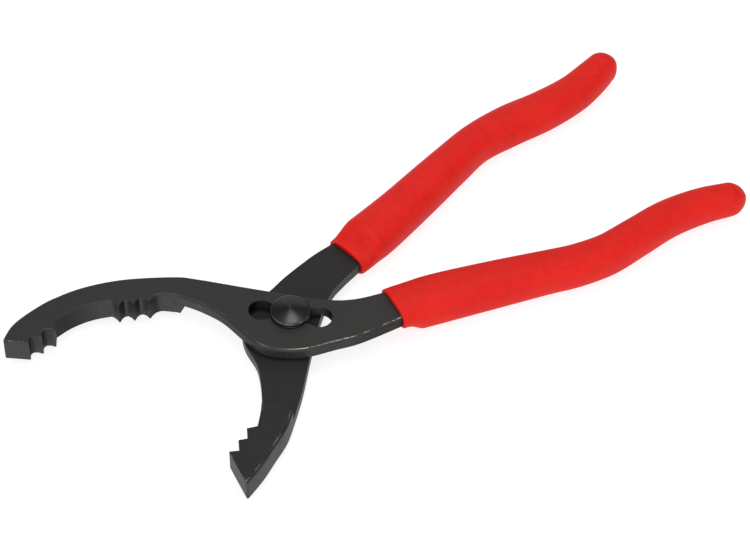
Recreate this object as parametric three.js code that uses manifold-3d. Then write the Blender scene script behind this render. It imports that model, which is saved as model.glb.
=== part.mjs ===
// Oil filter wrench of the slip joint pliers type.
//
// Two forged levers cross at a bolt. The hook jaw lever lies in front (+Z) and carries a
// three-seat slot. The short jaw lever lies behind it and is keyed to the bolt. Each lever is
// full thickness in its jaw and in the tang inside its grip, and half thickness where the two
// cross. The origin is on the bolt axis, at the bolt's lower end face. +X runs along the slot,
// away from the hook jaw, and +Z points out of the bolt head. All sizes are in millimetres.

import * as THREE from 'three';
import { mergeVertices } from 'three/addons/utils/BufferGeometryUtils.js';
import Module from 'manifold-3d';

// ---- driving dimensions ----

const JAW_THICKNESS = 10.5;
const LAP_GAP = 0.3;
const CLEARANCE = 0.25;

const SEAT_SPACING = 11.8;
const SEAT_RADIUS = 5.2;
const SLOT_NECK_HALF = 4.0;

const NUT_HEIGHT = 2.6;
const NUT_ACROSS_FLATS = 14;
const LOCK_WASHER_THICKNESS = 0.5;
const LOCK_WASHER_RADIUS = 6.6;
const LOCK_WASHER_SPLIT = 1.2;
const THREAD_RADIUS = 4;
const STACK_GAP = 0.1;

const HEAD_RADIUS = 8.15;
const HEAD_RIM_HEIGHT = 1.7;
const HEAD_EDGE = 0.8;
const HEAD_DOME_RISE = 1.2;
const HEAD_WASHER_THICKNESS = 0.5;
const HEAD_WASHER_RADIUS = 7.9;

const GRIP_WALL = 2.2;
const GRIP_HALF_HEIGHT = 8.5;
const GRIP_TAIL_HALF_HEIGHT = 6.8;
const GRIP_MOUTH_HALF_HEIGHT = 5.1;
const GRIP_SECTION_POWER = 2.4;
const TANG_STEP = 10;
const TANG_END_GAP = 5;

// ---- heights of the stack along the bolt ----

const WASHER_BASE = NUT_HEIGHT + STACK_GAP;
const REAR_FACE = WASHER_BASE + LOCK_WASHER_THICKNESS + STACK_GAP;
const MID_PLANE = REAR_FACE + JAW_THICKNESS / 2;
const FRONT_FACE = REAR_FACE + JAW_THICKNESS;
const REAR_LAP_TOP = MID_PLANE - LAP_GAP / 2;
const FRONT_LAP_BASE = MID_PLANE + LAP_GAP / 2;
const HEAD_WASHER_BASE = FRONT_FACE + STACK_GAP;
const HEAD_BASE = HEAD_WASHER_BASE + HEAD_WASHER_THICKNESS + STACK_GAP;

// ---- plan outlines, seen from the front ----

// Hook jaw lever: the back of the hook, from the tip round to the neck at the grip.
const HOOK_BACK = [
  [-110.2, -32.7], [-108.8, -25.2], [-105.6, -19.2], [-100.5, -12.6], [-95.3, -7.3],
  [-85.1, 0.2], [-70, 7], [-50, 11.7], [-40, 12], [-20, 10.8], [0, 9.8], [15, 9.8],
  [25, 12.1],
];

// Underside of the neck and of the lap, from the grip back to the step into the hook.
const HOOK_LAP_UNDERSIDE = [
  [30.1, -6.7], [20, -12.2], [10, -17.4], [0, -19.6], [-9, -18.4], [-17.1, -12.8],
  [-26.6, -5.4], [-36.1, -1.1], [-43, 0.9], [-47, 1.8],
];

// Inside of the hook: teeth with round valleys at the middle and at the tip, an arc between.
// Each row is a valley's control point and the tooth tip after it.
const HOOK_MID_TEETH_START = [-52.6, 1.6];
const HOOK_MID_TEETH = [
  [[-55.8, 1.2], [-57, -3.3]],
  [[-61.8, 1.4], [-62.9, -5.4]],
  [[-67.5, -0.5], [-68.7, -7.3]],
  [[-71, -4.8], [-72.6, -4.7]],
];
const HOOK_INNER_ARC = [
  [-76.9, -6.4], [-80.9, -8.5], [-84.8, -11.3], [-88.5, -14.8], [-91.9, -19.1],
];
const HOOK_TIP_TEETH_START = [-91.1, -23.8];
const HOOK_TIP_TEETH = [
  [[-97.4, -22.1], [-95.2, -28.1]],
  [[-101.8, -26.7], [-99.5, -32]],
];

// Short jaw lever: right edge from the jaw tip up to the grip.
const SHORT_RIGHT_EDGE = [
  [-1.1, -87], [3.2, -77], [6.2, -67.5], [9.1, -58], [10.2, -48], [11, -34], [10.9, -12],
  [11.6, 5], [13.4, 17.4], [17, 25.8],
];

// Left edge from the grip down past the round of the lap to the first tooth.
const SHORT_LEFT_EDGE = [
  [3.8, 38.3], [-1, 31.8], [-6.8, 23.1], [-11.7, 14.4], [-16.5, 8.6], [-19, 0], [-18.4, -8],
  [-15.4, -15.2], [-9.8, -22.9], [-6.5, -31], [-3.8, -42.1], [-2.6, -50], [-2.4, -58.6],
];
const SHORT_TEETH = [
  [-6.2, -60.3], [-4.8, -65.2], [-8.3, -66.6], [-6.8, -71.5], [-10.8, -72.7],
];

// Lines across the jaws where the levers step from half to full thickness, at the mid-plane
// and at the outer face. The hook's step is a slope.
const HOOK_STEP_INNER = [[-43.4, -40], [-43.4, 40]];
const HOOK_STEP_OUTER = [[-45.8, -40], [-45.8, 40]];
const SHORT_STEP_INNER = [[-40, -46.2], [3.5, -45.6], [12, -49.7], [40, -63.4]];
const SHORT_STEP_OUTER = [[-40, -46.8], [3.5, -46.2], [12, -50.3], [40, -64]];

// Handles: stations along the grip from its mouth, each x, y and the grip's half width.
const HOOK_HANDLE = {
  stations: [
    [39.9, 10.9, 10.1], [47.1, 16.3, 10.2], [54.6, 20.8, 10.5], [76.9, 32.3, 9.8],
    [99, 43.2, 8.6], [107.6, 47.3, 8.4], [115.1, 51.8, 8.3], [121.8, 56.8, 8.2],
    [132.5, 68.1, 8], [143.8, 80, 7.8], [157.2, 89.7, 7.4], [167.9, 95.1, 6.7],
  ],
  tipRadius: 7.1,
  neckLevel: (FRONT_LAP_BASE + FRONT_FACE) / 2,
};
const SHORT_HANDLE = {
  stations: [
    [16, 40, 10.2], [20.5, 45.9, 10.5], [24.9, 52, 10.6], [34.3, 67.2, 9.9], [42.5, 81.4, 9.4],
    [50.9, 96, 8.7], [59.7, 110.3, 8.1], [71.7, 122.6, 8.9], [84.9, 133.8, 8.9],
    [96.8, 146.5, 8.3], [104.1, 158.2, 7.5], [107, 163.6, 6.8],
  ],
  tipRadius: 7.1,
  neckLevel: (REAR_FACE + REAR_LAP_TOP) / 2,
};

// ---- solids ----

const wasm = await Module();
wasm.setup();

// A closed three.js geometry as a solid that can be cut and joined.
function solid(geometry) {
  const bare = geometry.index ? geometry.toNonIndexed() : geometry.clone();
  bare.deleteAttribute('normal');
  bare.deleteAttribute('uv');
  const merged = mergeVertices(bare, 1e-4);
  return new wasm.Manifold(new wasm.Mesh({
    numProp: 3,
    vertProperties: new Float32Array(merged.attributes.position.array),
    triVerts: new Uint32Array(merged.index.array),
  }));
}

function geometryOf(body) {
  const mesh = body.getMesh();
  const geometry = new THREE.BufferGeometry();
  geometry.setAttribute('position', new THREE.BufferAttribute(mesh.vertProperties, 3));
  geometry.setIndex(new THREE.BufferAttribute(mesh.triVerts, 1));
  geometry.computeVertexNormals();
  return geometry;
}

const vectors = (pairs) => pairs.map(([x, y]) => new THREE.Vector2(x, y));

// A flat outline raised between two heights.
function slab(shape, low, high, curveSegments = 5) {
  const geometry = new THREE.ExtrudeGeometry(shape, {
    depth: high - low,
    bevelEnabled: false,
    curveSegments,
  });
  return solid(geometry.translate(0, 0, low));
}

function cylinder(radius, low, high) {
  const geometry = new THREE.CylinderGeometry(radius, radius, high - low, 40);
  return solid(geometry.rotateX(Math.PI / 2).translate(0, 0, (low + high) / 2));
}

// ---- handles ----

const STATION_COUNT = 40;

// Evenly spaced places along a handle: centre, left-hand normal, half width and distance.
function handlePlaces(handle) {
  const curve = new THREE.CatmullRomCurve3(
    handle.stations.map(([x, y, halfWidth]) => new THREE.Vector3(x, y, halfWidth)),
    false,
    'centripetal',
  );
  const length = curve.getLength();
  const places = [];
  for (let i = 0; i <= STATION_COUNT; i += 1) {
    const at = curve.getPointAt(i / STATION_COUNT);
    const along = curve.getTangentAt(i / STATION_COUNT);
    const direction = new THREE.Vector2(along.x, along.y).normalize();
    places.push({
      centre: new THREE.Vector2(at.x, at.y),
      direction,
      normal: new THREE.Vector2(-direction.y, direction.x),
      halfWidth: at.z,
      distance: (i / STATION_COUNT) * length,
    });
  }
  return places;
}

// Point beside a place, on its left for side 1 and on its right for side -1.
function beside(place, side, inset) {
  return place.centre.clone().addScaledVector(place.normal, side * (place.halfWidth - inset));
}

// The tang's two edges and its round end, from the mouth's right side to its left side.
function tangOutline(places, inset) {
  const last = places.length - 1;
  const endDistance = places[last].distance - TANG_END_GAP;
  const used = places.filter((place) => place.distance <= endDistance);
  const end = used[used.length - 1];
  const radius = end.halfWidth - inset;
  const round = [];
  const steps = 8;
  for (let i = 1; i < steps; i += 1) {
    const angle = -Math.PI / 2 + (Math.PI * i) / steps;
    round.push(end.centre.clone()
      .addScaledVector(end.direction, radius * Math.cos(angle))
      .addScaledVector(end.normal, radius * Math.sin(angle)));
  }
  const thinned = used.filter((place, i) => i % 2 === 0 || place === end);
  const right = thinned.map((place) => beside(place, -1, inset));
  const left = thinned.map((place) => beside(place, 1, inset)).reverse();
  return [...right, ...round, ...left];
}

// The line across a handle where its tang becomes full thickness, as left and right points.
function tangStepLine(places, distance) {
  const reach = 30;
  const place = places.find((candidate) => candidate.distance >= distance);
  const back = place.centre.clone().addScaledVector(place.direction, distance - place.distance);
  return [
    back.clone().addScaledVector(place.normal, reach),
    back.clone().addScaledVector(place.normal, -reach),
  ];
}

const smooth = (from, to, value) => THREE.MathUtils.smoothstep(value, from, to);

// Height of the grip's centre and half its height at a distance from the mouth.
function gripSection(handle, distance, length) {
  const swell = smooth(1, TANG_STEP + 1, distance);
  const taper = smooth(0.45 * length, length, distance);
  const full = THREE.MathUtils.lerp(GRIP_HALF_HEIGHT, GRIP_TAIL_HALF_HEIGHT, taper);
  return {
    level: THREE.MathUtils.lerp(handle.neckLevel, MID_PLANE, swell),
    halfHeight: THREE.MathUtils.lerp(GRIP_MOUTH_HALF_HEIGHT, full, swell),
  };
}

// A closed skin over a row of rings with equal point counts, each end closed to its centre.
function loft(rings) {
  const count = rings[0].length;
  const points = rings.flat();
  const index = [];
  for (let r = 0; r + 1 < rings.length; r += 1) {
    for (let i = 0; i < count; i += 1) {
      const a = r * count + i;
      const b = r * count + ((i + 1) % count);
      index.push(a, a + count, b, b, a + count, b + count);
    }
  }
  const lastRing = (rings.length - 1) * count;
  const ends = [[0, true], [lastRing, false]];
  ends.forEach(([start, facesBack]) => {
    const middle = new THREE.Vector3();
    for (let i = 0; i < count; i += 1) middle.addScaledVector(points[start + i], 1 / count);
    points.push(middle);
    for (let i = 0; i < count; i += 1) {
      const a = start + i;
      const b = start + ((i + 1) % count);
      index.push(...(facesBack ? [points.length - 1, a, b] : [points.length - 1, b, a]));
    }
  });
  const geometry = new THREE.BufferGeometry().setFromPoints(points);
  geometry.setIndex(index);
  return geometry;
}

// Outer skin of a grip: superellipse sections from the mouth to a round end.
function gripSkin(handle, places) {
  const sides = 20;
  const last = places[places.length - 1];
  const length = last.distance;
  const ring = (place, shrink, ahead) => {
    const { level, halfHeight } = gripSection(handle, place.distance, length);
    const centre = place.centre.clone().addScaledVector(place.direction, ahead);
    const points = [];
    for (let i = 0; i < sides; i += 1) {
      const angle = (2 * Math.PI * i) / sides;
      const power = 2 / GRIP_SECTION_POWER;
      const across = Math.sign(Math.cos(angle)) * Math.abs(Math.cos(angle)) ** power;
      const up = Math.sign(Math.sin(angle)) * Math.abs(Math.sin(angle)) ** power;
      const spot = centre.clone().addScaledVector(place.normal, -across * place.halfWidth * shrink);
      points.push(new THREE.Vector3(spot.x, spot.y, level + up * halfHeight * shrink));
    }
    return points;
  };
  const rings = places.map((place) => ring(place, 1, 0));
  for (const angle of [0.3, 0.6, 0.9, 1.15, 1.4]) {
    rings.push(ring(last, Math.cos(angle), handle.tipRadius * Math.sin(angle)));
  }
  return solid(loft(rings));
}

// ---- cuts ----

// Block that leaves a lever at half thickness between its jaw step and its tang step. Its ends
// are two step lines each, one at the low level and one at the high level.
function lapRelief(lowJawLine, highJawLine, tangLine, low, high) {
  const ring = (jawLine, level) => [...vectors(jawLine), ...tangLine]
    .map((corner) => new THREE.Vector3(corner.x, corner.y, level));
  return solid(loft([ring(lowJawLine, low), ring(highJawLine, high)]));
}

// The bolt's section: a circle with two flats facing +Y and -Y.
function keyedShaft(radius, flatHalf, low, high) {
  const halfAngle = Math.asin(flatHalf / radius);
  const shape = new THREE.Shape();
  shape.absarc(0, 0, radius, -halfAngle, halfAngle, false);
  shape.absarc(0, 0, radius, Math.PI - halfAngle, Math.PI + halfAngle, false);
  return slab(shape, low, high, 16);
}

// Three round seats joined by a narrower channel.
function seatSlot(low, high) {
  const channel = new THREE.Shape(vectors([
    [-SEAT_SPACING, -SLOT_NECK_HALF], [SEAT_SPACING, -SLOT_NECK_HALF],
    [SEAT_SPACING, SLOT_NECK_HALF], [-SEAT_SPACING, SLOT_NECK_HALF],
  ]));
  let slot = slab(channel, low, high);
  for (const seat of [-SEAT_SPACING, 0, SEAT_SPACING]) {
    slot = slot.add(cylinder(SEAT_RADIUS, low, high).translate([seat, 0, 0]));
  }
  return slot;
}

// ---- levers ----

const hookPlaces = handlePlaces(HOOK_HANDLE);
const shortPlaces = handlePlaces(SHORT_HANDLE);

function addTeeth(shape, teeth) {
  teeth.forEach(([valley, tip]) => shape.quadraticCurveTo(...valley, ...tip));
}

function hookJawLever() {
  const tang = tangOutline(hookPlaces, GRIP_WALL);
  const shape = new THREE.Shape();
  shape.moveTo(...HOOK_BACK[0]);
  shape.splineThru([...vectors(HOOK_BACK.slice(1)), tang[tang.length - 1]]);
  tang.slice().reverse().slice(1).forEach((point) => shape.lineTo(point.x, point.y));
  shape.splineThru(vectors(HOOK_LAP_UNDERSIDE));
  shape.lineTo(...HOOK_MID_TEETH_START);
  addTeeth(shape, HOOK_MID_TEETH);
  shape.splineThru(vectors(HOOK_INNER_ARC));
  shape.lineTo(...HOOK_TIP_TEETH_START);
  addTeeth(shape, HOOK_TIP_TEETH);
  const relief = lapRelief(
    HOOK_STEP_OUTER,
    HOOK_STEP_INNER,
    tangStepLine(hookPlaces, TANG_STEP),
    REAR_FACE - 0.01,
    FRONT_LAP_BASE,
  );
  return slab(shape, REAR_FACE, FRONT_FACE)
    .subtract(relief)
    .subtract(seatSlot(REAR_FACE, FRONT_FACE + 1));
}

function shortJawLever() {
  const tang = tangOutline(shortPlaces, GRIP_WALL);
  const shape = new THREE.Shape();
  shape.moveTo(...SHORT_RIGHT_EDGE[0]);
  shape.splineThru([...vectors(SHORT_RIGHT_EDGE.slice(1)), tang[0]]);
  tang.slice(1).forEach((point) => shape.lineTo(point.x, point.y));
  shape.splineThru(vectors(SHORT_LEFT_EDGE));
  SHORT_TEETH.forEach((point) => shape.lineTo(...point));
  const relief = lapRelief(
    SHORT_STEP_INNER.slice().reverse(),
    SHORT_STEP_OUTER.slice().reverse(),
    tangStepLine(shortPlaces, TANG_STEP),
    REAR_LAP_TOP,
    FRONT_FACE + 0.01,
  );
  const keyHole = keyedShaft(SEAT_RADIUS, SLOT_NECK_HALF, REAR_FACE - 1, FRONT_FACE);
  return slab(shape, REAR_FACE, FRONT_FACE).subtract(relief).subtract(keyHole);
}

// ---- grips ----

// The pocket follows the tang, and half its height is left solid beside the thin neck.
function grip(handle, places, fill) {
  const mouth = places[0];
  const outline = tangOutline(places, GRIP_WALL - CLEARANCE);
  const before = (point) => point.clone().addScaledVector(mouth.direction, -3);
  const pocketShape = new THREE.Shape([
    before(outline[0]), ...outline, before(outline[outline.length - 1]),
  ]);
  const pocket = slab(pocketShape, REAR_FACE - CLEARANCE, FRONT_FACE + CLEARANCE);
  return gripSkin(handle, places).subtract(pocket.subtract(fill));
}

// Block beside a thin neck, from ahead of the mouth back to the tang step.
function neckFill(places, low, high) {
  const [left, right] = tangStepLine(places, TANG_STEP - CLEARANCE);
  const [mouthLeft, mouthRight] = tangStepLine(places, -10);
  return slab(new THREE.Shape([mouthRight, right, left, mouthLeft]), low, high);
}

function hookLeverGrip() {
  const fill = neckFill(hookPlaces, REAR_FACE - 1, FRONT_LAP_BASE - CLEARANCE);
  return grip(HOOK_HANDLE, hookPlaces, fill);
}

function shortLeverGrip() {
  const fill = neckFill(shortPlaces, REAR_LAP_TOP + CLEARANCE, FRONT_FACE + 1);
  return grip(SHORT_HANDLE, shortPlaces, fill);
}

// ---- pivot ----

function lathe(profile, segments = 48) {
  const geometry = new THREE.LatheGeometry(vectors(profile), segments);
  return solid(geometry.rotateX(Math.PI / 2));
}

// Domed round head on a keyed shoulder, with a round threaded end for the nut.
function pivotBolt() {
  const rimTop = HEAD_BASE + HEAD_RIM_HEIGHT;
  const domeRadius = HEAD_RADIUS - HEAD_EDGE;
  const profile = [
    [0, HEAD_BASE], [HEAD_RADIUS, HEAD_BASE], [HEAD_RADIUS, rimTop - HEAD_EDGE],
    [HEAD_RADIUS - 0.3 * HEAD_EDGE, rimTop - 0.3 * HEAD_EDGE],
  ];
  const domeSteps = 5;
  for (let i = 0; i <= domeSteps; i += 1) {
    const out = Math.cos((i / domeSteps) * (Math.PI / 2));
    profile.push([domeRadius * out, rimTop + HEAD_DOME_RISE * (1 - out * out)]);
  }
  const head = lathe(profile);
  const shoulder = keyedShaft(
    SEAT_RADIUS - CLEARANCE,
    SLOT_NECK_HALF - CLEARANCE,
    REAR_FACE + STACK_GAP,
    HEAD_BASE + 0.2,
  );
  const threaded = cylinder(THREAD_RADIUS, 0, REAR_FACE + 1);
  return head.add(shoulder).add(threaded);
}

function pivotNut() {
  const corner = NUT_ACROSS_FLATS / Math.sqrt(3);
  const flat = NUT_ACROSS_FLATS / 2;
  const hex = new THREE.CylinderGeometry(corner, corner, NUT_HEIGHT, 6);
  const block = solid(hex.rotateX(Math.PI / 2).translate(0, 0, NUT_HEIGHT / 2));
  const chamfer = lathe([
    [0, 0], [flat, 0], [corner, 0.6], [corner, NUT_HEIGHT], [0, NUT_HEIGHT],
  ]);
  const bore = cylinder(THREAD_RADIUS + CLEARANCE, -1, NUT_HEIGHT + 1);
  return block.intersect(chamfer).subtract(bore);
}

function lockWasher() {
  const top = WASHER_BASE + LOCK_WASHER_THICKNESS;
  const half = LOCK_WASHER_SPLIT / 2;
  const split = new THREE.Shape(vectors([[0, -half], [10, -half], [10, half], [0, half]]));
  return cylinder(LOCK_WASHER_RADIUS, WASHER_BASE, top)
    .subtract(cylinder(THREAD_RADIUS + CLEARANCE, WASHER_BASE - 1, top + 1))
    .subtract(slab(split, WASHER_BASE - 1, top + 1));
}

function headWasher() {
  const top = HEAD_WASHER_BASE + HEAD_WASHER_THICKNESS;
  return cylinder(HEAD_WASHER_RADIUS, HEAD_WASHER_BASE, top)
    .subtract(cylinder(SEAT_RADIUS + CLEARANCE, HEAD_WASHER_BASE - 1, top + 1));
}

// ---- materials and assembly ----

const blackSteel = () => new THREE.MeshStandardMaterial({
  color: 0x373735,
  roughness: 0.55,
  metalness: 0.85,
});
const turnedSteel = () => new THREE.MeshStandardMaterial({
  color: 0x4a4a47,
  roughness: 0.4,
  metalness: 0.9,
});
const redVinyl = () => new THREE.MeshStandardMaterial({
  color: 0xdd2a26,
  roughness: 0.6,
  metalness: 0,
});

const wrench = new THREE.Group();

function place(name, body, material) {
  const mesh = new THREE.Mesh(geometryOf(body), material);
  mesh.name = name;
  wrench.add(mesh);
}

place('hook_jaw_lever', hookJawLever(), blackSteel());
place('hook_lever_grip', hookLeverGrip(), redVinyl());
place('short_jaw_lever', shortJawLever(), blackSteel());
place('short_lever_grip', shortLeverGrip(), redVinyl());
place('pivot_bolt', pivotBolt(), turnedSteel());
place('pivot_nut', pivotNut(), turnedSteel());
place('head_washer', headWasher(), turnedSteel());
place('lock_washer', lockWasher(), turnedSteel());

export default wrench;
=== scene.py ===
"""Oil filter wrench of the slip joint pliers type: the looks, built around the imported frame.

Lengths are in metres in the row frame. +X runs along the slot, away from the hook jaw, +Z points
out of the bolt head, and the origin is on the bolt axis at the bolt's lower end. Heights and
radii come from the frame's boxes, and the levers from the frame's own meshes.
"""

import math

import bmesh
import bpy
import numpy as np
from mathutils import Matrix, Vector


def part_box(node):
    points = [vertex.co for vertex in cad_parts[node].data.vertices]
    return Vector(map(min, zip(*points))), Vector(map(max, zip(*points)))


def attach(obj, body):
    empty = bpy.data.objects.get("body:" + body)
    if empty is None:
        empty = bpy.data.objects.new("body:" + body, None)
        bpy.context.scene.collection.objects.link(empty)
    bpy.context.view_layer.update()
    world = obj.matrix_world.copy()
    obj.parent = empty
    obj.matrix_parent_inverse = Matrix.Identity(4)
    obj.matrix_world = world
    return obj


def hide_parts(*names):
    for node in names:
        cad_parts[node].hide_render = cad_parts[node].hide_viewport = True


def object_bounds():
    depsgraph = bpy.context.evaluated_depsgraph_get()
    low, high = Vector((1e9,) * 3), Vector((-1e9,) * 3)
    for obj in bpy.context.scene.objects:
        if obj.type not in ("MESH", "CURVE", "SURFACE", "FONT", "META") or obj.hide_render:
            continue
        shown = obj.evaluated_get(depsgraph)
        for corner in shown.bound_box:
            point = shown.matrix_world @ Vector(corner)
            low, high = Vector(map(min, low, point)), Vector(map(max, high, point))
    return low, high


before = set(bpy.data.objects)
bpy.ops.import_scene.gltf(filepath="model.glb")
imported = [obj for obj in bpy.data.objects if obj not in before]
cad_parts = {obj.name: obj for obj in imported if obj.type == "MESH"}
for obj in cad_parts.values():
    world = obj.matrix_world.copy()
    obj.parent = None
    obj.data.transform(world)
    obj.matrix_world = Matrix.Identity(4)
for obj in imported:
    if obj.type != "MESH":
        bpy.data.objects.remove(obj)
cad_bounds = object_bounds()

MM = 0.001

# ---- levels and radii, read from the frame ----

hook_low, hook_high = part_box("hook_jaw_lever")
short_low, short_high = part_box("short_jaw_lever")
grip_low, grip_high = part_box("hook_lever_grip")
bolt_low, bolt_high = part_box("pivot_bolt")
nut_low, nut_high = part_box("pivot_nut")
head_washer_low, head_washer_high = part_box("head_washer")
lock_washer_low, lock_washer_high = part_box("lock_washer")

REAR_FACE = hook_low.z
FRONT_FACE = hook_high.z
MID_PLANE = (REAR_FACE + FRONT_FACE) / 2
LAP_GAP = 0.3 * MM
REAR_LAP_TOP = MID_PLANE - LAP_GAP / 2
FRONT_LAP_BASE = MID_PLANE + LAP_GAP / 2
STACK_GAP = head_washer_low.z - FRONT_FACE

HEAD_RADIUS = bolt_high.x
HEAD_BASE = head_washer_high.z + STACK_GAP
HEAD_EDGE = 1.2 * MM
HEAD_DOME_RISE = 1.2 * MM
HEAD_RIM_TOP = bolt_high.z - HEAD_DOME_RISE
SEAT_RADIUS = 5.2 * MM
SEAT_SPACING = 11.8 * MM
CLEARANCE = 0.25 * MM
SHOULDER_RADIUS = SEAT_RADIUS - CLEARANCE
SHOULDER_FLAT_HALF = 3.75 * MM
THREAD_RADIUS = 4.0 * MM
THREAD_PITCH = 1.25 * MM

NUT_FLAT_HALF = min(nut_high.x, nut_high.y)

GRIP_HALF_HEIGHT = (grip_high.z - grip_low.z) / 2
GRIP_TAIL_HALF_HEIGHT = 0.8 * GRIP_HALF_HEIGHT
GRIP_MOUTH_HALF_HEIGHT = 0.6 * GRIP_HALF_HEIGHT
GRIP_SECTION_POWER = 2.4
GRIP_END_POWER = 1.85
GRIP_WALL = 2.2 * MM
TANG_STEP = 10 * MM
TANG_END_GAP = 5 * MM


# ---- mesh helpers ----

def new_object(name, mesh):
    piece = bpy.data.objects.new(name, mesh)
    bpy.context.scene.collection.objects.link(piece)
    return piece


def smooth_with_sharp_edges(mesh, degrees):
    mesh.polygons.foreach_set("use_smooth", [True] * len(mesh.polygons))
    mesh.set_sharp_from_angle(angle=math.radians(degrees))


def lofted(name, rings, joined_ends=False, sharp_degrees=35):
    """A closed skin over a row of rings, each an array of n points. Each end closes to its own
    centre, unless joined_ends closes the row on itself."""
    count = len(rings[0])
    points = [tuple(p) for ring in rings for p in ring]
    faces = []
    steps = len(rings) if joined_ends else len(rings) - 1
    for r in range(steps):
        here, there = r * count, ((r + 1) % len(rings)) * count
        for i in range(count):
            j = (i + 1) % count
            faces.append((here + i, here + j, there + j, there + i))
    if not joined_ends:
        last = (len(rings) - 1) * count
        for start, order in ((0, -1), (last, 1)):
            middle = len(points)
            points.append(tuple(np.mean(rings[0 if start == 0 else -1], axis=0)))
            for i in range(count):
                pair = (start + i, start + (i + 1) % count)
                faces.append((middle, *pair[::order]))
    mesh = bpy.data.meshes.new(name)
    mesh.from_pydata(points, [], faces)
    smooth_with_sharp_edges(mesh, sharp_degrees)
    mesh.update()
    return new_object(name, mesh)


def circle_angles(count):
    return np.arange(count) * (2 * math.pi / count)


def polar_ring(angles, radius, height):
    """A ring about the bolt axis. Radius and height are numbers or one value per angle."""
    ring = np.empty((len(angles), 3))
    ring[:, 0] = radius * np.cos(angles)
    ring[:, 1] = radius * np.sin(angles)
    ring[:, 2] = height
    return ring


def smoothstep(low, high, value):
    t = np.clip((value - low) / (high - low), 0, 1)
    return t * t * (3 - 2 * t)


# ---- camera, floor and light ----

VIEW_AZIMUTH = math.radians(9.2)
VIEW_ELEVATION = math.radians(48.5)
VIEW_DISTANCE = 1.2
# The aim is a little nearer to the camera and lower in the picture than the tool's middle.
AIM_FROM_MIDDLE = Vector((-0.76, -25.02, 15.2)) * MM


def back_direction(azimuth, elevation):
    """The direction from the object to a camera or light at those angles."""
    return Vector((
        math.sin(azimuth) * math.cos(elevation),
        -math.cos(azimuth) * math.cos(elevation),
        math.sin(elevation),
    ))


def face_towards(thing, target):
    """Turns a camera or a light to look at the target."""
    thing.rotation_mode = "QUATERNION"
    thing.rotation_quaternion = (target - thing.location).to_track_quat("-Z", "Y")


def make_camera(middle):
    data = bpy.data.cameras.new("camera")
    data.lens = 144
    data.sensor_width = 36
    camera = new_object("camera", data)
    aim = middle + AIM_FROM_MIDDLE
    camera.location = aim + back_direction(VIEW_AZIMUTH, VIEW_ELEVATION) * VIEW_DISTANCE
    face_towards(camera, aim)
    bpy.context.scene.camera = camera


def softbox(name, middle, azimuth, elevation, distance, width, height, radiance):
    """A rectangular light that faces the tool. The angles are in degrees."""
    data = bpy.data.lights.new(name, "AREA")
    data.shape = "RECTANGLE"
    data.size = width
    data.size_y = height
    data.energy = radiance * math.pi * width * height
    light = new_object(name, data)
    light.location = middle + back_direction(
        math.radians(azimuth), math.radians(elevation)) * distance
    face_towards(light, middle)
    return light


def make_lights(middle):
    """A studio that is bright on the camera's side and dim behind, with three softboxes."""
    world = bpy.data.worlds.new("studio")
    bpy.context.scene.world = world
    world.use_nodes = True
    tree = world.node_tree
    direction = tree.nodes.new("ShaderNodeTexCoord")
    facing = tree.nodes.new("ShaderNodeVectorMath")
    facing.operation = "DOT_PRODUCT"
    facing.inputs[1].default_value = back_direction(VIEW_AZIMUTH, math.radians(25))
    shade = tree.nodes.new("ShaderNodeMapRange")
    shade.interpolation_type = "SMOOTHSTEP"
    shade.inputs["From Min"].default_value = -0.35
    shade.inputs["From Max"].default_value = 0.8
    shade.inputs["To Min"].default_value = 0.32
    shade.inputs["To Max"].default_value = 1.1
    tree.links.new(direction.outputs["Generated"], facing.inputs[0])
    tree.links.new(facing.outputs["Value"], shade.inputs["Value"])
    background = tree.nodes["Background"]
    background.inputs["Color"].default_value = (1, 1, 1, 1)
    tree.links.new(shade.outputs["Result"], background.inputs["Strength"])
    softbox(
        "overhead", middle, azimuth=9.2, elevation=99, distance=0.85,
        width=0.30, height=0.34, radiance=6.2)
    softbox(
        "back_glow", middle, azimuth=189.2, elevation=27, distance=0.9,
        width=0.8, height=0.45, radiance=0.85)
    softbox(
        "front_fill", middle, azimuth=0, elevation=28, distance=1.1,
        width=0.9, height=0.5, radiance=1.4)


def make_floor(level):
    size = 6.0
    bm = bmesh.new()
    bmesh.ops.create_grid(bm, x_segments=1, y_segments=1, size=size / 2)
    mesh = bpy.data.meshes.new("floor")
    bm.to_mesh(mesh)
    bm.free()
    floor = new_object("floor", mesh)
    floor.location.z = level
    material = bpy.data.materials.new("pale_floor")
    material.use_nodes = True
    shader = material.node_tree.nodes["Principled BSDF"]
    shader.inputs["Base Color"].default_value = (0.3, 0.3, 0.3, 1)
    shader.inputs["Roughness"].default_value = 0.9
    shader.inputs["Specular IOR Level"].default_value = 0.1
    shader.inputs["Emission Color"].default_value = (1, 1, 1, 1)
    shader.inputs["Emission Strength"].default_value = 0.8
    mesh.materials.append(material)


# ---- material helpers ----

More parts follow.
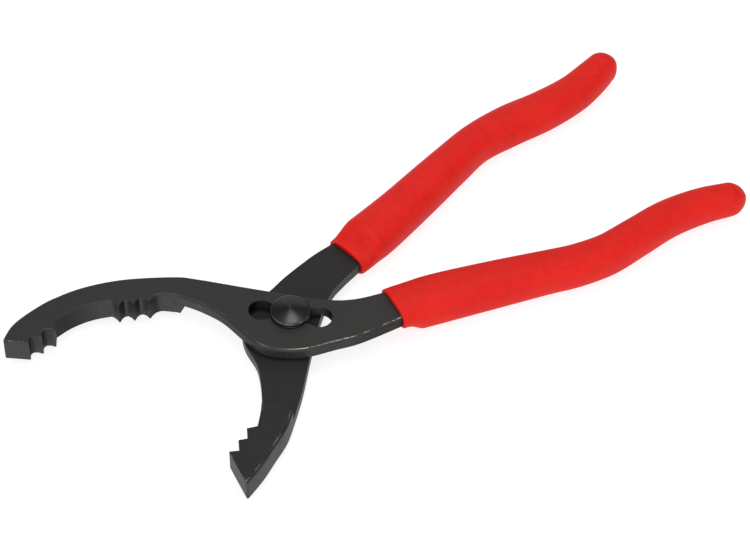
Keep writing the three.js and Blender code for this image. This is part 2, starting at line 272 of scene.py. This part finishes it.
class Nodes:
    """Short calls that add nodes to one material and return their outputs."""

    def __init__(self, name):
        self.material = bpy.data.materials.new(name)
        self.material.use_nodes = True
        self.tree = self.material.node_tree
        self.shader = self.tree.nodes["Principled BSDF"]
        self.coordinates = self.add("ShaderNodeTexCoord").outputs["Object"]

    def add(self, kind, **settings):
        node = self.tree.nodes.new(kind)
        for key, value in settings.items():
            setattr(node, key, value)
        return node

    def link(self, source, target):
        self.tree.links.new(source, target)

    def put(self, target, value):
        """Links an output to an input, or sets a plain value."""
        if isinstance(value, bpy.types.NodeSocket):
            self.link(value, target)
        else:
            target.default_value = value

    def stretched(self, scale):
        mapping = self.add("ShaderNodeMapping")
        mapping.inputs["Scale"].default_value = scale
        self.link(self.coordinates, mapping.inputs["Vector"])
        return mapping.outputs["Vector"]

    def noise(self, scale, detail=2.0, roughness=0.5, vector=None):
        node = self.add("ShaderNodeTexNoise")
        node.inputs["Scale"].default_value = scale
        node.inputs["Detail"].default_value = detail
        node.inputs["Roughness"].default_value = roughness
        self.link(vector or self.coordinates, node.inputs["Vector"])
        return node.outputs["Fac"]

    def attribute(self, name):
        return self.add("ShaderNodeAttribute", attribute_name=name).outputs["Fac"]

    def math(self, operation, a, b=0.0, clamp=False):
        node = self.add("ShaderNodeMath", operation=operation, use_clamp=clamp)
        self.put(node.inputs[0], a)
        self.put(node.inputs[1], b)
        return node.outputs[0]

    def remap(self, value, low, high, to_low, to_high):
        node = self.add("ShaderNodeMapRange", clamp=True)
        self.put(node.inputs["Value"], value)
        node.inputs["From Min"].default_value = low
        node.inputs["From Max"].default_value = high
        node.inputs["To Min"].default_value = to_low
        node.inputs["To Max"].default_value = to_high
        return node.outputs["Result"]

    def blend(self, amount, first, second):
        node = self.add("ShaderNodeMix", data_type="RGBA")
        self.put(node.inputs["Factor"], amount)
        self.put(node.inputs[6], first)
        self.put(node.inputs[7], second)
        return node.outputs[2]

    def bump(self, height, distance, strength=1.0, under=None):
        node = self.add("ShaderNodeBump")
        node.inputs["Strength"].default_value = strength
        node.inputs["Distance"].default_value = distance
        self.link(height, node.inputs["Height"])
        if under is not None:
            self.link(under, node.inputs["Normal"])
        return node.outputs["Normal"]

    def normal_parts(self):
        """The normal's X and Y, and how squarely it faces along the bolt axis."""
        parts = self.add("ShaderNodeSeparateXYZ")
        self.link(self.add("ShaderNodeTexCoord").outputs["Normal"], parts.inputs[0])
        x, y, z = parts.outputs
        return x, y, self.math("ABSOLUTE", z)

    def set(self, name, value):
        self.put(self.shader.inputs[name], value)


# Near black, for painted shade on the hook's tooth flanks and for darker flats.
NEAR_BLACK = (0.004, 0.004, 0.0038, 1)


def black_oxide_steel():
    """Matt black oxide over a forged and ground surface, worn to bare steel on edges, which on
    edges that face the camera is also a painted highlight; painted shade on the hook's tooth
    flanks.
    """
    n = Nodes("black_oxide_steel")
    smudge = n.noise(38, detail=4, roughness=0.6)
    grain = n.noise(2400, detail=3, roughness=0.6)
    pits = n.noise(620, detail=2)
    across, forward, facing = n.normal_parts()
    wall = n.remap(facing, 0.3, 0.8, 1.0, 0.0)
    streaks = n.noise(1500, detail=2, vector=n.stretched((1, 1, 0.05)))

    # Bare steel shows where a flat turns over into its rounding. It is rubbing, and on edges that
    # face the camera's side (-Y) it is also a painted highlight.
    crease = n.math(
        "MULTIPLY", n.remap(facing, 0.80, 0.93, 0.0, 1.0), n.remap(facing, 0.985, 0.999, 1.0, 0.0))
    # Painted highlight: more bare steel on edges that face -Y, towards the camera.
    glint_towards_camera = n.remap(forward, -0.25, 0.05, 1.0, 0.2)
    patches = n.noise(620, detail=4, roughness=0.75)
    broad = n.noise(75, detail=1)
    patchiness = n.math("ADD", n.math("MULTIPLY", patches, 0.75), n.math("MULTIPLY", broad, 0.55))
    broken = n.remap(patchiness, 0.61, 0.75, 0.0, 1.0)
    bare_steel_share = n.math("MULTIPLY", n.math("MULTIPLY", crease, glint_towards_camera), broken)
    bare_steel_share = n.math("MULTIPLY", n.attribute("bare_edge"), bare_steel_share)

    # The walls are a rougher, paler forged skin with light flecks. Painted shade darkens the
    # hook's walls that face along X, the flanks of its teeth, and the flats are darkened, the
    # short lever's much more than the hook's.
    oxide = n.blend(smudge, (0.022, 0.022, 0.021, 1), (0.038, 0.038, 0.036, 1))
    oxide = n.blend(n.math("MULTIPLY", wall, 0.5), oxide, (0.05, 0.05, 0.0475, 1))
    flecks = n.remap(n.noise(800, detail=4, roughness=0.8), 0.5, 0.72, 0.0, 0.55)
    oxide = n.blend(n.math("MULTIPLY", flecks, wall), oxide, (0.11, 0.11, 0.105, 1))
    # Painted shade: near black on the hook's walls that face along X, the flanks of its teeth.
    sideways = n.math("MULTIPLY", n.remap(n.math("ABSOLUTE", across), 0.35, 0.75, 0.0, 1.0), wall)
    darkening = n.math("MULTIPLY", sideways, n.attribute("painted_shade_in_teeth"))
    oxide = n.blend(darkening, oxide, NEAR_BLACK)
    # Flats darkened towards near black, half way on the short lever and a little on the hook.
    darkening = n.math("MULTIPLY", n.math("SUBTRACT", 1.0, wall), n.attribute("flat_darkening"))
    oxide = n.blend(darkening, oxide, NEAR_BLACK)
    # The bare steel is worn steel, and on edges facing the camera it is also a painted highlight.
    n.set("Base Color", n.blend(n.math("MULTIPLY", bare_steel_share, 0.85), oxide, (0.45, 0.43, 0.40, 1)))
    n.set("Metallic", n.remap(bare_steel_share, 0.0, 1.0, 0.55, 1.0))
    rough = n.remap(smudge, 0.3, 0.7, 0.50, 0.60)
    n.set("Roughness", n.math("SUBTRACT", rough, n.math("MULTIPLY", bare_steel_share, 0.22)))
    n.set("Specular IOR Level", 0.4)

    surface = n.bump(pits, 0.05 * MM, 0.5)
    surface = n.bump(grain, 0.02 * MM, 0.6, under=surface)
    scratched = n.math("MULTIPLY", streaks, wall)
    n.set("Normal", n.bump(scratched, 0.06 * MM, 0.7, under=surface))
    return n.material


def turned_steel():
    """Dark turned steel with fine rings about the bolt axis."""
    n = Nodes("turned_steel")
    parts = n.add("ShaderNodeSeparateXYZ")
    n.link(n.coordinates, parts.inputs[0])
    x, y = parts.outputs["X"], parts.outputs["Y"]
    radius = n.math("SQRT", n.math("ADD", n.math("MULTIPLY", x, x), n.math("MULTIPLY", y, y)))
    radial = n.add("ShaderNodeCombineXYZ")
    n.link(radius, radial.inputs["X"])
    n.link(parts.outputs["Z"], radial.inputs["Z"])
    rings = n.noise(2600, detail=3, roughness=0.7, vector=radial.outputs[0])
    smudge = n.noise(150, detail=3)

    edge = n.attribute("bare_edge")
    bare_steel_share = n.math("MULTIPLY", edge, n.remap(n.noise(500, detail=3), 0.4, 0.7, 0.1, 0.9))
    dark = n.blend(smudge, (0.030, 0.030, 0.029, 1), (0.045, 0.045, 0.043, 1))
    n.set("Base Color", n.blend(bare_steel_share, dark, (0.16, 0.16, 0.155, 1)))
    n.set("Metallic", 1.0)
    n.set("Roughness", n.remap(rings, 0.2, 0.8, 0.25, 0.33))
    n.set("Anisotropic", 0.6)
    n.set("Anisotropic Rotation", 0.25)
    tangent = n.add("ShaderNodeTangent", direction_type="RADIAL", axis="Z")
    n.link(tangent.outputs[0], n.shader.inputs["Tangent"])
    n.set("Normal", n.bump(rings, 0.02 * MM, 0.6))
    return n.material


def red_vinyl():
    """Dip moulded vinyl: matt to satin, mottled, with a fine orange-peel skin."""
    n = Nodes("red_vinyl")
    mottle = n.noise(330, detail=3, roughness=0.6)
    cloud = n.noise(60, detail=3)
    peel = n.noise(900, detail=2, roughness=0.5)
    fine = n.noise(3200, detail=2, roughness=0.5)

    shade = n.math("ADD", n.math("MULTIPLY", mottle, 0.65), n.math("MULTIPLY", cloud, 0.35))
    shade = n.remap(shade, 0.38, 0.62, 0.0, 1.0)
    n.set("Base Color", n.blend(shade, (0.57, 0.0045, 0.002, 1), (0.655, 0.009, 0.003, 1)))
    n.set("Roughness", n.remap(mottle, 0.3, 0.7, 0.52, 0.66))
    n.set("Specular IOR Level", 0.22)
    surface = n.bump(peel, 0.12 * MM, 0.4)
    n.set("Normal", n.bump(fine, 0.03 * MM, 0.4, under=surface))
    return n.material


# ---- levers ----

FACE_ROUNDING = 0.45 * MM
UNDERSIDE_ROUNDING = 1.2 * MM
JAW_BACK_ROUNDING = 1.5 * MM
JAW_FRONT_ROUNDING = 0.9 * MM
HOOK_TIP_ROUNDING = 0.8 * MM
TOOTH_ROUNDING = 0.25 * MM
CORNER_ROUNDING = 1.1 * MM
SLOT_ROUNDING = 0.25 * MM
LAP_ROUNDING = 0.2 * MM
STEP_ROUNDING = 0.5 * MM
LONGEST_TOOTH_FLANK = 9 * MM
SHARP_ANGLE = math.radians(22)

# Places on the levers, by which their edges are told apart.
HOOK_END_X = hook_low.x + 5 * MM
HOOK_TIP_X = -90 * MM
SHORT_JAW_END_Y = short_low.y + 5 * MM
SHORT_JAW_TOP_Y = -45 * MM
SHORT_JAW_TEETH_Y = -60 * MM
SHORT_JAW_BACK_X = 5 * MM
LAP_BOTTOM_Y = -19 * MM


def is_upright(face):
    return abs(face.normal.z) < 0.6


def is_flat(face):
    return abs(face.normal.z) > 0.9


def is_sharp(edge):
    return len(edge.link_faces) == 2 and edge.calc_face_angle(0) > SHARP_ANGLE


def is_step_wall(face):
    """A wall that rises from a lap face, so that it meets that face in an inside corner."""
    return is_upright(face) and any(
        is_sharp(edge) and not edge.is_convex and any(is_flat(f) for f in edge.link_faces)
        for edge in face.edges)


def is_rim(edge):
    """An outside edge between a flat face and a wall."""
    return is_sharp(edge) and edge.is_convex \
        and any(is_flat(f) for f in edge.link_faces) \
        and any(is_upright(f) for f in edge.link_faces)


def runs_on(edge, other, vertex):
    """True if one edge goes on from the other at their common vertex without a corner."""
    arriving = vertex.co - edge.other_vert(vertex).co
    leaving = other.other_vert(vertex).co - vertex.co
    return arriving.angle(leaving) < SHARP_ANGLE


def rim_rows(bm):
    """The rims' edges in rows that end at corners."""
    waiting = {edge for edge in bm.edges if is_rim(edge)}
    rows = []
    while waiting:
        row, open_edges = [], [min(waiting, key=lambda e: e.index)]
        waiting.discard(open_edges[0])
        while open_edges:
            edge = open_edges.pop()
            row.append(edge)
            for vertex in edge.verts:
                for other in vertex.link_edges:
                    if other in waiting and runs_on(edge, other, vertex):
                        waiting.discard(other)
                        open_edges.append(other)
        rows.append(row)
    return rows


def row_rounding(row):
    """How far a row of rim edges is rounded off. It is one size all along the row, because a
    change between edges in line would leave a spike."""
    points = [v.co for edge in row for v in edge.verts]
    if any(is_step_wall(f) for edge in row for f in edge.link_faces):
        return STEP_ROUNDING
    reach = SEAT_RADIUS + 0.3 * MM
    if all(abs(p.y) < reach and abs(p.x) < SEAT_SPACING + reach for p in points):
        return SLOT_ROUNDING if points[0].z > MID_PLANE + LAP_GAP else 0
    if sum(edge.calc_length() for edge in row) < LONGEST_TOOTH_FLANK:
        return TOOTH_ROUNDING
    level = points[0].z
    if min(abs(level - REAR_FACE), abs(level - FRONT_FACE)) > 0.1 * MM:
        return LAP_ROUNDING
    if level < MID_PLANE:
        return FACE_ROUNDING
    if any(abs(p.x) < 5 * MM and abs(p.y - LAP_BOTTOM_Y) < MM for p in points):
        return UNDERSIDE_ROUNDING
    if all(p.x < HOOK_TIP_X for p in points):
        return HOOK_TIP_ROUNDING
    if all(p.y < SHORT_JAW_TOP_Y for p in points):
        if max(p.x for p in points) > SHORT_JAW_BACK_X:
            return JAW_BACK_ROUNDING
        if min(p.y for p in points) > SHORT_JAW_TEETH_Y:
            return JAW_FRONT_ROUNDING
    return FACE_ROUNDING


def corner_rounding(edge):
    """How far an upright outside corner is rounded off: more at the ends of the jaws."""
    x, y = edge.verts[0].co[:2]
    at_jaw_end = x < HOOK_END_X or y < SHORT_JAW_END_Y
    return CORNER_ROUNDING if at_jaw_end else TOOTH_ROUNDING


def rubbing_and_glint_at(point):
    """How much bare steel is painted on an edge at that point, from 0 to 1. The jaw ends are
    rubbed in use; along the lower front edges of the lap and the neck it is partly rubbing and
    partly a painted highlight.
    """
    x, y = point.x / MM, point.y / MM
    on_hook_end = x < -92
    on_short_jaw = point.y < SHORT_JAW_TOP_Y
    under_lap = x > -30 and y < -12
    under_neck = x > 0 and y < 0.6 * x - 12
    if on_hook_end:
        return 1.0
    if on_short_jaw:
        return 0.6
    # Front edges of the lap and neck: partly rubbing, partly a painted highlight.
    if under_lap or under_neck:
        return 0.4 + 0.6 * smoothstep(0, 12, x)
    return 0.1


def mark_bare_edges(mesh):
    """The bare steel attribute lies on the middle of every rounded edge, from rubbing and, on
    front edges, a painted highlight. Rounded edges have material 1.
    """
    bare_steel_share = np.array([rubbing_and_glint_at(vertex.co) for vertex in mesh.vertices], np.float32)
    for polygon in mesh.polygons:
        if polygon.material_index == 0:
            bare_steel_share[list(polygon.vertices)] = 0
    attribute = mesh.attributes.new("bare_edge", "FLOAT", "POINT")
    attribute.data.foreach_set("value", bare_steel_share)
    mesh.polygons.foreach_set("material_index", [0] * len(mesh.polygons))


def shade_by_area(mesh):
    """Corner normals weighted by face area, so that flats stay flat up to their rounded rims."""
    corners_at = [[] for _ in mesh.vertices]
    for polygon in mesh.polygons:
        for vertex in polygon.vertices:
            corners_at[vertex].append(polygon)
    normals = []
    for polygon in mesh.polygons:
        for vertex in polygon.vertices:
            near = [p for p in corners_at[vertex]
                    if p.normal.angle(polygon.normal, 0) < 1.5 * SHARP_ANGLE]
            total = sum((p.normal * p.area for p in near), Vector())
            normals.append(total.normalized())
    mesh.normals_split_custom_set(normals)


def mark_all(mesh, name, value):
    """One value all over a mesh, as an attribute that a shared material can read."""
    attribute = mesh.attributes.new(name, "FLOAT", "POINT")
    attribute.data.foreach_set("value", [value] * len(mesh.vertices))


def forged_lever(name, node, flat_darkening, painted_shade_in_teeth):
    """The node's own shape with its edges rounded."""
    bm = bmesh.new()
    bm.from_mesh(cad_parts[node].data)
    bmesh.ops.remove_doubles(bm, verts=bm.verts, dist=0.002 * MM)
    bmesh.ops.dissolve_limit(
        bm, angle_limit=math.radians(0.3), verts=bm.verts, edges=bm.edges)
    bm.normal_update()
    bm.edges.index_update()
    weight = bm.edges.layers.float.new("bevel_weight_edge")
    for edge in bm.edges:
        upright = all(is_upright(f) for f in edge.link_faces)
        if is_sharp(edge) and edge.is_convex and upright:
            edge[weight] = corner_rounding(edge) / JAW_BACK_ROUNDING
    for row in rim_rows(bm):
        for edge in row:
            edge[weight] = row_rounding(row) / JAW_BACK_ROUNDING
    for face in bm.faces:
        face.material_index = 0
        face.smooth = True
    mesh = bpy.data.meshes.new(name + "_blank")
    bm.to_mesh(mesh)
    bm.free()
    mesh.materials.append(None)
    mesh.materials.append(None)
    blank = new_object(name + "_blank", mesh)
    bevel = blank.modifiers.new("rounding", "BEVEL")
    bevel.limit_method = "WEIGHT"
    bevel.width = JAW_BACK_ROUNDING
    bevel.segments = 4
    bevel.use_clamp_overlap = False
    bevel.material = 1
    depsgraph = bpy.context.evaluated_depsgraph_get()
    shaped = bpy.data.meshes.new_from_object(blank.evaluated_get(depsgraph))
    bpy.data.objects.remove(blank)
    shaped.name = name
    mark_bare_edges(shaped)
    shaped.materials.clear()
    # How far the flats are darkened towards near black.
    mark_all(shaped, "flat_darkening", flat_darkening)
    # How strongly painted shade darkens the walls that face along X, the flanks of the hook's
    # teeth.
    mark_all(shaped, "painted_shade_in_teeth", painted_shade_in_teeth)
    shade_by_area(shaped)
    return new_object(name, shaped)


# ---- grips ----

# Stations along each grip from its mouth: x, y and half width, in mm.
HOOK_HANDLE = (
    (39.9, 10.9, 10.1), (47.1, 16.3, 10.2), (54.6, 20.8, 10.5), (76.9, 32.3, 9.8),
    (99, 43.2, 8.6), (107.6, 47.3, 8.4), (115.1, 51.8, 8.3), (121.8, 56.8, 8.2),
    (132.5, 68.1, 8), (143.8, 80, 7.8), (157.2, 89.7, 7.4), (167.9, 95.1, 6.7),
)
SHORT_HANDLE = (
    (16, 40, 10.2), (20.5, 45.9, 10.5), (24.9, 52, 10.6), (34.3, 67.2, 9.9), (42.5, 81.4, 9.4),
    (50.9, 96, 8.7), (59.7, 110.3, 8.1), (71.7, 122.6, 8.9), (84.9, 133.8, 8.9),
    (96.8, 146.5, 8.3), (104.1, 158.2, 7.5), (107, 163.6, 6.8),
)


class Handle:
    """A smooth curve through the stations, read by distance from the mouth."""

    def __init__(self, stations, neck_low, neck_high):
        points = np.array(stations, float) * MM
        points = np.vstack([2 * points[0] - points[1], points, 2 * points[-1] - points[-2]])
        fine = np.vstack([
            self.span(points[i:i + 4], np.linspace(0, 1, 30, endpoint=False))
            for i in range(len(points) - 3)
        ] + [points[-2:-1]])
        steps = np.hypot(*np.diff(fine[:, :2], axis=0).T)
        self.distance = np.concatenate([[0], np.cumsum(steps)])
        self.fine = fine
        self.length = self.distance[-1]
        self.neck_low, self.neck_high = neck_low, neck_high
        self.neck_level = (neck_low + neck_high) / 2

    @staticmethod
    def span(four, share):
        """Centripetal Catmull-Rom between the second and third of four points."""
        knots = np.concatenate(
            [[0], np.cumsum(np.linalg.norm(np.diff(four, axis=0), axis=1) ** 0.5)])
        t = (knots[1] + share * (knots[2] - knots[1]))[:, None]

        def between(low, high, a, b):
            return (a * (knots[high] - t) + b * (t - knots[low])) / (knots[high] - knots[low])

        a1, a2, a3 = (between(i, i + 1, four[i], four[i + 1]) for i in range(3))
        b1, b2 = between(0, 2, a1, a2), between(1, 3, a2, a3)
        return between(1, 2, b1, b2)

    def place(self, distance):
        """Centre, direction, left-hand normal and half width. Past either end it goes straight."""
        inside = min(max(distance, 0), self.length)
        x, y, half_width = (np.interp(inside, self.distance, self.fine[:, k]) for k in range(3))
        ends = [min(max(inside + d, 0), self.length) for d in (-MM, MM)]
        ahead = np.array([
            np.subtract(*(np.interp(e, self.distance, self.fine[:, k]) for e in ends[::-1]))
            for k in range(2)
        ])
        direction = ahead / np.linalg.norm(ahead)
        centre = np.array([x, y]) + direction * (distance - inside)
        return centre, direction, np.array([-direction[1], direction[0]]), half_width

    def ring(self, distance, half_width, low, high, power, sides):
        """A superellipse section across the handle."""
        centre, _, normal, _ = self.place(distance)
        angles = circle_angles(sides)
        across = np.sign(np.cos(angles)) * np.abs(np.cos(angles)) ** (2 / power) * half_width
        up = np.sign(np.sin(angles)) * np.abs(np.sin(angles)) ** (2 / power) * (high - low) / 2
        ring = np.empty((sides, 3))
        ring[:, :2] = centre - across[:, None] * normal
        ring[:, 2] = (low + high) / 2 + up
        return ring

    def skin(self, distance):
        """Half width, lowest and highest level of the outside of the grip."""
        half_width = self.place(distance)[3]
        swell = smoothstep(1 * MM, TANG_STEP + 1 * MM, distance)
        taper = smoothstep(0.45 * self.length, self.length, distance)
        full = GRIP_HALF_HEIGHT + (GRIP_TAIL_HALF_HEIGHT - GRIP_HALF_HEIGHT) * taper
        level = self.neck_level + (MID_PLANE - self.neck_level) * swell
        half_height = GRIP_MOUTH_HALF_HEIGHT + (full - GRIP_MOUTH_HALF_HEIGHT) * swell
        return half_width, level - half_height, level + half_height


def grip_sleeve(name, handle):
    """A moulded sleeve: outer skin, rolled lip at the mouth and a pocket round the tang."""
    sides = 64
    tip = 7.5 * MM

    def outside(distance, grow=0.0, shrink=1.0):
        half_width, low, high = handle.skin(min(distance, handle.length))
        level, half_height = (low + high) / 2, (high - low) / 2 * shrink + grow
        return handle.ring(
            distance, half_width * shrink + grow, level - half_height, level + half_height,
            GRIP_SECTION_POWER, sides)

    def pocket(distance, gap, low, high):
        half_width = handle.place(distance)[3] - GRIP_WALL + gap
        return handle.ring(distance, half_width, low - gap, high + gap, 9, sides)

    rings = []
    neck = (handle.neck_low, handle.neck_high)
    full = (REAR_FACE, FRONT_FACE)
    tang_end = handle.length - TANG_END_GAP
    for distance in np.arange(tang_end + 3.6 * MM, TANG_STEP, -3 * MM):
        rings.append(pocket(distance, 0.22 * MM, *full))
    rings.append(pocket(TANG_STEP - 0.2 * MM, 0.22 * MM, *full))
    rings.append(pocket(TANG_STEP - 0.2 * MM, 0.15 * MM, *neck))
    rings.append(pocket(0.3 * MM, 0.08 * MM, *neck))
    rings.append(pocket(0, 0.3 * MM, *neck))

    lip = 0.5 * MM
    for angle in np.radians([5, 25, 45, 65, 85]):
        rings.append(outside(lip * (1 - math.cos(angle)), grow=lip * (math.sin(angle) - 1)))
    for distance in np.arange(1.2 * MM, handle.length, 0.9 * MM):
        rings.append(outside(distance))
    for angle in np.radians(np.arange(0, 88, 5.5)):
        reach = math.sin(angle) ** (2 / GRIP_END_POWER)
        shrink = math.cos(angle) ** (2 / GRIP_END_POWER)
        rings.append(outside(handle.length + tip * reach, shrink=shrink))
    return lofted(name, rings, sharp_degrees=60)


# ---- pivot ----

def pivot_bolt(name):
    """Threaded end, shoulder with two flats and a domed head, turned in one piece."""
    angles = circle_angles(96)
    shoulder = np.minimum(
        SHOULDER_RADIUS, SHOULDER_FLAT_HALF / np.maximum(np.abs(np.sin(angles)), 1e-6))
    chamfer = 0.5 * MM
    rings = [
        polar_ring(angles, THREAD_RADIUS - 2 * chamfer, bolt_low.z),
        polar_ring(angles, THREAD_RADIUS - chamfer, bolt_low.z),
    ]
    thread_top = REAR_FACE - 0.2 * MM
    depth = 0.35 * MM
    for height in np.linspace(bolt_low.z + 0.3 * MM, thread_top, 24):
        turn = (height / THREAD_PITCH - angles / (2 * math.pi)) % 1
        crest = np.abs(2 * turn - 1) * smoothstep(0, 0.6 * MM, height)
        rings.append(polar_ring(angles, THREAD_RADIUS - depth + depth * crest, height))
    base = REAR_FACE + STACK_GAP
    rings += [
        polar_ring(angles, THREAD_RADIUS, base - 0.02 * MM),
        polar_ring(angles, shoulder - 0.15 * MM, base),
        polar_ring(angles, shoulder, base + 0.15 * MM),
        polar_ring(angles, shoulder, HEAD_BASE - 0.02 * MM),
        polar_ring(angles, HEAD_RADIUS - 0.3 * MM, HEAD_BASE),
        polar_ring(angles, HEAD_RADIUS - 0.08 * MM, HEAD_BASE + 0.1 * MM),
        polar_ring(angles, HEAD_RADIUS, HEAD_BASE + 0.3 * MM),
    ]
    for angle in np.radians(np.linspace(0, 74, 7)):
        rings.append(polar_ring(
            angles,
            HEAD_RADIUS - HEAD_EDGE * (1 - math.cos(angle)),
            HEAD_RIM_TOP - HEAD_EDGE * (1 - math.sin(angle)),
        ))
    crown_radius = HEAD_RADIUS - HEAD_EDGE * (1 - math.cos(math.radians(74)))
    crown_base = HEAD_RIM_TOP - HEAD_EDGE * (1 - math.sin(math.radians(74)))
    for share in np.linspace(0.97, 0.1, 18):
        rise = (bolt_high.z - crown_base) * (1 - share ** 1.9)
        rings.append(polar_ring(angles, crown_radius * share, crown_base + rise))
    centre_mark = 0.45 * MM
    rings += [
        polar_ring(angles, centre_mark, bolt_high.z - 0.02 * MM),
        polar_ring(angles, centre_mark * 0.5, bolt_high.z - 0.09 * MM),
    ]
    bolt = lofted(name, rings, sharp_degrees=40)
    mark_band(bolt.data, HEAD_RADIUS - 0.5 * MM, HEAD_RIM_TOP - 0.6 * MM)
    return bolt


def mark_band(mesh, radius, height):
    """bare_edge on what lies beyond a radius and above a height."""
    attribute = mesh.attributes.new("bare_edge", "FLOAT", "POINT")
    attribute.data.foreach_set("value", np.array([
        float(math.hypot(v.co.x, v.co.y) > radius and v.co.z > height)
        for v in mesh.vertices
    ], np.float32))


def pivot_nut(name):
    """A hexagon with its corners turned off on both faces and a chamfered bore."""
    angles = circle_angles(96)
    sixth = math.pi / 3
    from_flat = (angles + sixth / 2) % sixth - sixth / 2
    hexagon = NUT_FLAT_HALF / np.cos(from_flat)
    face_radius = 0.97 * NUT_FLAT_HALF
    lift = np.maximum(hexagon - face_radius, 0) * math.tan(math.radians(30))
    low, high = nut_low.z, nut_high.z
    bore = THREAD_RADIUS + CLEARANCE / 2
    rings = [
        polar_ring(angles, bore + 0.45 * MM, low),
        polar_ring(angles, np.minimum(hexagon, face_radius), low),
        polar_ring(angles, hexagon, low + lift),
        polar_ring(angles, hexagon, high - lift),
        polar_ring(angles, np.minimum(hexagon, face_radius), high),
        polar_ring(angles, bore + 0.45 * MM, high),
        polar_ring(angles, bore, high - 0.45 * MM),
        polar_ring(angles, bore, low + 0.45 * MM),
    ]
    nut = lofted(name, rings, joined_ends=True, sharp_degrees=20)
    mark_band(nut.data, NUT_FLAT_HALF * 1.1, -1)
    return nut


def head_washer(name):
    """A plain washer with rounded rims."""
    angles = circle_angles(96)
    low, high = head_washer_low.z, head_washer_high.z
    outer, inner = head_washer_high.x, SEAT_RADIUS + CLEARANCE
    edge = 0.15 * MM
    rings = [
        polar_ring(angles, inner + edge, low),
        polar_ring(angles, outer - edge, low),
        polar_ring(angles, outer, low + edge),
        polar_ring(angles, outer, high - edge),
        polar_ring(angles, outer - edge, high),
        polar_ring(angles, inner + edge, high),
        polar_ring(angles, inner, high - edge),
        polar_ring(angles, inner, low + edge),
    ]
    washer = lofted(name, rings, joined_ends=True, sharp_degrees=50)
    mark_band(washer.data, outer - edge, -1)
    return washer


def lock_washer(name):
    """A split ring whose ends are cut on a slant and stand slightly apart in height."""
    outer, inner = lock_washer_high.x, THREAD_RADIUS + CLEARANCE
    middle = (lock_washer_low.z + lock_washer_high.z) / 2
    half = (lock_washer_high.z - lock_washer_low.z) / 2 - 0.02 * MM
    rise = 0.07 * MM
    gap = math.radians(7)
    slant = math.radians(4)
    edge = 0.08 * MM
    section = [
        (inner, -half + edge), (inner + edge, -half), (outer - edge, -half), (outer, -half + edge),
        (outer, half - edge), (outer - edge, half), (inner + edge, half), (inner, half - edge),
    ]
    rings = []
    for share in np.linspace(0, 1, 72):
        ring = []
        for radius, up in section:
            end_pull = slant * (up / half) * (2 * share - 1) ** 8
            angle = gap + share * (2 * math.pi - 2 * gap) + end_pull
            height = middle + up + rise * (share - 0.5)
            ring.append((radius * math.cos(angle), radius * math.sin(angle), height))
        rings.append(np.array(ring))
    washer = lofted(name, rings[::-1], sharp_degrees=40)
    mark_band(washer.data, outer - edge, -1)
    return washer


# ---- assembly ----

def finish_piece(piece, material, body, node):
    piece.data.materials.clear()
    piece.data.materials.append(material)
    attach(piece, body)
    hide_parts(node)


middle = (cad_bounds[0] + cad_bounds[1]) / 2
make_camera(middle)
make_lights(middle)
make_floor(cad_bounds[0].z - 0.2 * MM)
bpy.context.scene.view_settings.view_transform = "Standard"

steel, turned, vinyl = black_oxide_steel(), turned_steel(), red_vinyl()
hook_handle = Handle(HOOK_HANDLE, FRONT_LAP_BASE, FRONT_FACE)
short_handle = Handle(SHORT_HANDLE, REAR_FACE, REAR_LAP_TOP)

finish_piece(
    forged_lever("forged_hook_lever", "hook_jaw_lever", flat_darkening=0.08, painted_shade_in_teeth=1),
    steel, "hook_lever", "hook_jaw_lever")
finish_piece(
    forged_lever("forged_short_lever", "short_jaw_lever", flat_darkening=0.5, painted_shade_in_teeth=0),
    steel, "short_lever", "short_jaw_lever")
finish_piece(
    grip_sleeve("hook_sleeve", hook_handle),
    vinyl, "hook_lever", "hook_lever_grip")
finish_piece(
    grip_sleeve("short_sleeve", short_handle),
    vinyl, "short_lever", "short_lever_grip")
finish_piece(
    pivot_bolt("turned_bolt"), turned, "short_lever", "pivot_bolt")
finish_piece(
    pivot_nut("hexagon_nut"), turned, "short_lever", "pivot_nut")
finish_piece(
    lock_washer("split_washer"), turned, "short_lever", "lock_washer")
finish_piece(
    head_washer("plain_washer"), turned, "slip_washer", "head_washer")
